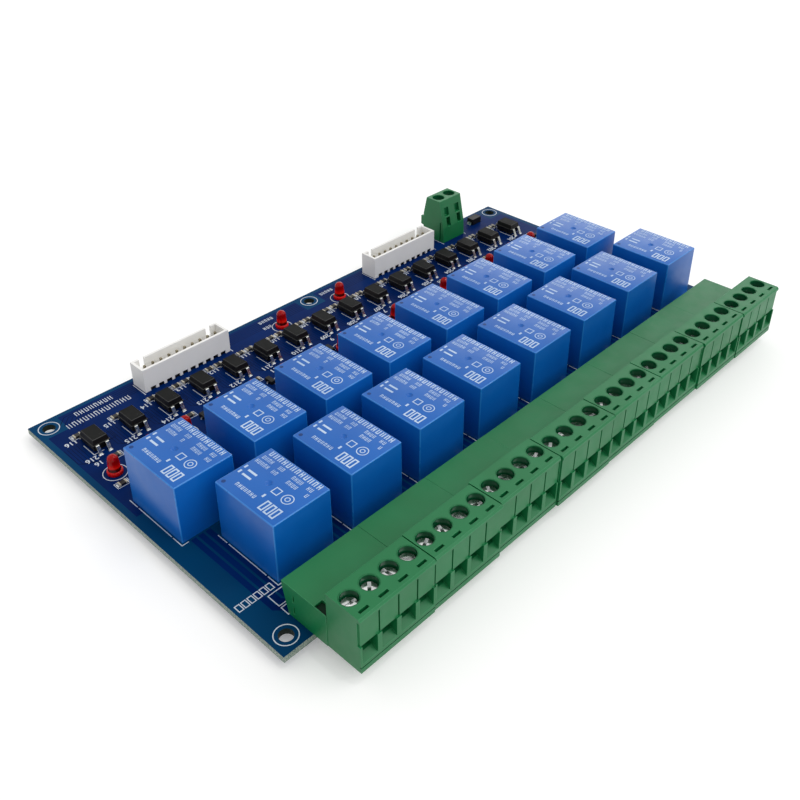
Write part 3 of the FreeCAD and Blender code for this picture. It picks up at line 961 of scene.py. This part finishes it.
def small_legs():
    """Three legs for each transistor, two end tabs for each diode."""
    legs = bmesh.new()
    leg_out, leg_half_width, leg_reach, thick = 0.95 * mm, 0.2 * mm, 0.5 * mm, 0.16 * mm
    for low, high in solids("small_semiconductors"):
        y = middle((low, high)).y
        size = high - low
        level = board_top + size.z * 0.45
        if size.y > size.x:
            places = [(-1, y), (1, y - leg_out), (1, y + leg_out)]
            width, reach = leg_half_width, leg_reach
        else:
            places = [(-1, y), (1, y)]
            width, reach = size.y * 0.3, size.x * 0.17
        for side, y in places:
            x = low.x if side < 0 else high.x
            outline = [(x + side * reach * share, z) for share, z in (
                (0, level), (0.5, level), (0.75, board_top + thick), (1, board_top + thick),
                (1, board_top), (0.6, board_top), (0.38, level - thick), (0, level - thick))]
            extruded(legs, outline, 1, y - width, y + width)
    finished(legs, "semiconductor_legs", tin)


chip_ends()
small_legs()


# White print of the board

def relay_outline_print(bm, base):
    """Broken lines along the visible sides of each relay."""
    side_gap, front_gap, corner = 0.45 * mm, 0.5 * mm, 1.6 * mm
    for low, high in boxes_of(relays):
        x, y, rear = low.x - side_gap, low.y - front_gap, high.y + side_gap
        for start, end in (((x, rear), (x, rear - 3.0 * mm)),
                           ((x, rear - 3.7 * mm), (x, y + 3.9 * mm)),
                           ((x, y + 3.2 * mm), (x, y)),
                           ((x + line_width, y), (x + corner, y)),
                           ((high.x - corner, y), (high.x + 0.3 * mm, y))):
            strip(bm, start, end, line_width, base)


def channel_print(bm, base):
    """An angle round each optocoupler and a number at three parts of its channel."""
    gap, angle_length, angle_width = 0.2 * mm, 4.7 * mm, 2.6 * mm
    for index, (low, high) in enumerate(boxes_of(optos)):
        x, y = low.x - gap, low.y - gap
        strip(bm, (x, y + angle_length), (x, y), line_width, base)
        strip(bm, (x + line_width, y), (x + angle_width, y), line_width, base)
        number = len(optos) - index
        for label, across, along in ((100 + number, -1.9, 7.55), (200 + number, -1.5, -1.35),
                                     (number, -1.0, -3.7)):
            numeral(bm, str(label), (low.x + across * mm, low.y + along * mm), base)


def edge_print(bm, base):
    """Rows of strokes along the rear edge and plain boxes at the front left corner."""
    left, rear, front = board_low.x, board_high.y, board_low.y
    # Millimetres from the left and rear edges, then the row's length and height
    for x, y, length, height in ((6.2, 6.6, 18.6, 1.9), (10.4, 3.4, 11.0, 1.7),
                                 (69.0, 3.0, 6.2, 1.3), (68.6, 6.3, 3.6, 1.3),
                                 (92.6, 3.3, 6.0, 1.3)):
        stroke_row(bm, (left + (x + length) * mm, rear - y * mm), (left + x * mm, rear - y * mm),
                   height * mm, height * 0.8 * mm, 0.2 * mm, base, int(length))
    boxes = [(0.9 + number * 1.55, 14.5, 1.1, 1.7) for number in range(6)]
    for x, y, width, depth in boxes + [(7.3, 10.1, 4.1, 3.5), (7.3, 7.2, 4.1, 2.3)]:
        frame_lines(bm, (left + x * mm, front + y * mm),
                    (left + (x + width) * mm, front + (y + depth) * mm), line_width, base)


def board_print():
    """All the white print, as one piece a little proud of the mask."""
    bm = bmesh.new()
    base = board_top - ink_height / 3
    for place in ((-hole_x, -hole_y), (hole_x, -hole_y), (-hole_x, hole_y), (hole_x, hole_y),
                  (0, hole_y)):
        flat_ring(bm, place, 2.42 * mm, 2.64 * mm, base)
    relay_outline_print(bm, base)
    channel_print(bm, base)
    edge_print(bm, base)
    for pair in solids("indicator_lamps"):
        flat_ring(bm, middle(pair).xy, 2.75 * mm, 2.95 * mm, base)
    chip_side, chip_end, gap = 0.35 * mm, 0.7 * mm, 0.4 * mm
    for low, high in solids("chip_resistors"):
        frame_lines(bm, (low.x - chip_end, low.y - chip_side),
                    (high.x + chip_end, high.y + chip_side), chip_frame_width, base)
    for low, high in boxes_of(input_headers + ["supply_terminal"]):
        frame_lines(bm, (low.x - gap, low.y - gap),
                    (high.x + gap, min(high.y, board_high.y) - gap), line_width, base,
                    closed=False)
    piece = finished(bm, "board_print", ink)


board_print()


# Copper under the mask

def rear_pour(bm, base):
    """The wide copper area under the channel parts, notched round the mounting holes."""
    clear = 3.6 * mm
    x, y = board_high.x - 1.6 * mm, board_high.y - 1.3 * mm
    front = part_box(relays[0])[0].y + 14 * mm
    outline = [(-x, front), (-x, hole_y - clear), (clear - hole_x, hole_y - clear),
               (clear - hole_x, y), (-clear, y), (-clear, hole_y - clear),
               (clear, hole_y - clear), (clear, y), (hole_x - clear, y),
               (hole_x - clear, hole_y - clear), (x, hole_y - clear), (x, front)]
    low, high = ring_at(bm, outline, base), ring_at(bm, outline, base + copper_height)
    bm.faces.new(high)
    walls(bm, low, high)


def relay_runs(bm, base):
    """Three wide runs from each rear relay to the terminals, in the gap beside the next."""
    first, pitch, width, jog = 1.0 * mm, 1.9 * mm, 1.35 * mm, 1.6 * mm
    header_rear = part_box(headers[0])[1].y
    rear_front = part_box(relays[0])[0].y
    for low, high in boxes_of(relays[1::2]):
        for lane in range(3):
            x = low.x - (first + lane * pitch)
            bend = header_rear - lane * 0.6 * mm
            path(bm, [(x, rear_front - 0.5 * mm), (x, bend + 2.8 * mm),
                      (x + jog, bend + 1.2 * mm), (x + jog, header_rear - 2 * mm)], width, base)


def gap_lines(bm, base):
    """Fine gaps etched in the pour: a bus along the rear edge and short runs at each channel."""
    bus_width, run_width, bus_pitch, run_pitch = 0.16 * mm, 0.14 * mm, 0.75 * mm, 0.8 * mm
    hole_clear = 4.2 * mm
    for lane in range(6):
        y = board_high.y - 2.4 * mm - lane * bus_pitch
        x = board_low.x + 8.5 * mm + lane * run_pitch
        path(bm, [(x - 2.5 * mm, y - 2.5 * mm), (x, y), (-hole_clear, y)], bus_width, base)
        path(bm, [(hole_clear, y), (board_high.x - 9 * mm, y)], bus_width, base)
    for low, high in boxes_of(optos):
        for lane in range(5):
            x = low.x - 4.6 * mm + lane * run_pitch
            y = low.y - (1.8 + lane * 0.5) * mm
            path(bm, [(x, high.y - 0.5 * mm), (x, y + 1.2 * mm), (x + 1.2 * mm, y),
                      (x + 5.6 * mm, y)], run_width, base)
        frame_lines(bm, (high.x + 0.6 * mm, low.y + 2.2 * mm),
                    (high.x + 2.6 * mm, high.y - 1.4 * mm), run_width, base, copper_height)


def board_copper():
    """The copper's relief under the mask, and the gaps etched in it."""
    base = board_top - copper_height / 2
    copper, gaps = bmesh.new(), bmesh.new()
    rear_pour(copper, base)
    relay_runs(copper, base)
    finished(copper, "board_copper", copper_mask)
    gap_lines(gaps, base + copper_height / 2)
    finished(gaps, "copper_gaps", gap_mask)


board_copper()


# Solder joints under the board

def solder_joints():
    """A cone of solder round each pin that comes through the board."""
    bm = bmesh.new()
    underside = board_low.z
    for low, high in solids("relay_pins") + solids("connector_pins"):
        if low.z > underside:
            continue
        x, y, _ = middle((low, high))
        half = max(high.x - low.x, high.y - low.y) / 2
        pad = half + 0.75 * mm
        profile = ((pad, underside + 0.01 * mm), (pad, underside - 0.04 * mm),
                   (pad * 0.8, underside - 0.12 * mm), (half + 0.32 * mm, underside - 0.4 * mm),
                   (half + 0.12 * mm, underside - 0.85 * mm), (half * 0.6, underside - 1.15 * mm),
                   (0, underside - 1.2 * mm))
        turned(bm, (x, y), profile, 20)
    piece = finished(bm, "solder_joints", solder, 60)


solder_joints()


# Floor, light and camera

def seen_directly(tree):
    """One for rays from the camera, off a shiny surface or through a clear one."""
    rays = tree.nodes.new("ShaderNodeLightPath").outputs
    others = calculate(tree, "MAXIMUM", rays["Is Glossy Ray"], rays["Is Transmission Ray"])
    return calculate(tree, "MAXIMUM", rays["Is Camera Ray"], others)


def stage():
    """A plain pale floor, lifted to white where it is seen, that keeps the shadow."""
    finish = Finish("pale_floor", 0.9, specular=0.1)
    finish.tint((236, 236, 235), (240, 240, 239), 4)
    tree = finish.tree
    glow = tree.nodes.new("ShaderNodeEmission")
    glow.inputs["Color"].default_value = (1, 1, 1, 1)
    strength = calculate(tree, "MULTIPLY", seen_directly(tree), floor_glow)
    finish.link(strength, glow.inputs["Strength"])
    add = tree.nodes.new("ShaderNodeAddShader")
    finish.link(finish.shader.outputs["BSDF"], add.inputs[0])
    finish.link(glow.outputs["Emission"], add.inputs[1])
    finish.link(add.outputs["Shader"], tree.nodes["Material Output"].inputs["Surface"])
    bm = bmesh.new()
    bmesh.ops.create_grid(bm, x_segments=8, y_segments=8, size=floor_half_width)
    mesh = bpy.data.meshes.new("floor")
    bm.to_mesh(mesh)
    bm.free()
    mesh.materials.append(finish.material)
    floor = bpy.data.objects.new("floor", mesh)
    floor.location.z = floor_level
    bpy.context.scene.collection.objects.link(floor)


def light_world():
    """Even light from all round, which shows as plain white where it is seen."""
    world = bpy.data.worlds.new("studio")
    world.use_nodes = True
    tree = world.node_tree
    mix = tree.nodes.new("ShaderNodeMixShader")
    tree.links.new(seen_directly(tree), mix.inputs["Fac"])
    grounds = (tree.nodes["Background"], tree.nodes.new("ShaderNodeBackground"))
    for socket, ground, strength in zip(mix.inputs[1:], grounds, (world_strength, 1.0)):
        ground.inputs["Color"].default_value = (1, 1, 1, 1)
        ground.inputs["Strength"].default_value = strength
        tree.links.new(ground.outputs["Background"], socket)
    tree.links.new(mix.outputs["Shader"], tree.nodes["World Output"].inputs["Surface"])
    bpy.context.scene.world = world


def studio_lamp(name, direction, strength, spread):
    """A distant soft lamp: the direction it stands in and how wide it looks, in degrees."""
    data = bpy.data.lights.new(name, "SUN")
    data.energy = strength
    data.angle = math.radians(spread)
    lamp = bpy.data.objects.new(name, data)
    lamp.rotation_euler = Vector(direction).to_track_quat("Z", "Y").to_euler()
    bpy.context.scene.collection.objects.link(lamp)


def camera():
    """The photograph's own viewpoint."""
    azimuth, elevation, roll = (math.radians(angle) for angle in (
        camera_azimuth, camera_elevation, camera_roll))
    back = Vector((math.sin(azimuth) * math.cos(elevation),
                   -math.cos(azimuth) * math.cos(elevation), math.sin(elevation)))
    right = Vector((0, 0, 1)).cross(back).normalized()
    up = back.cross(right)
    data = bpy.data.cameras.new("camera")
    data.sensor_width = sensor_width
    data.lens = camera_focal_pixels / picture_size * sensor_width
    data.shift_x = (picture_size / 2 - picture_centre[0]) / picture_size
    data.shift_y = (picture_centre[1] - picture_size / 2) / picture_size
    data.clip_start = 0.01
    data.clip_end = 20
    eye = bpy.data.objects.new("camera", data)
    axes = Matrix((right * math.cos(roll) + up * math.sin(roll),
                   up * math.cos(roll) - right * math.sin(roll), back)).transposed()
    place = camera_target + back * camera_distance
    eye.matrix_world = Matrix.Translation(place) @ axes.to_4x4()
    bpy.context.scene.collection.objects.link(eye)
    bpy.context.scene.camera = eye


stage()
light_world()
studio_lamp("front_above", (0.35, -0.6, 0.72), 0.95, 50)
studio_lamp("low_behind", (0.875, 0.408, 0.259), 0.42, 40)
studio_lamp("overhead", (0.11, -0.21, 0.97), 0.2, 2.5)
camera()
bpy.context.scene.view_settings.view_transform = "Standard"
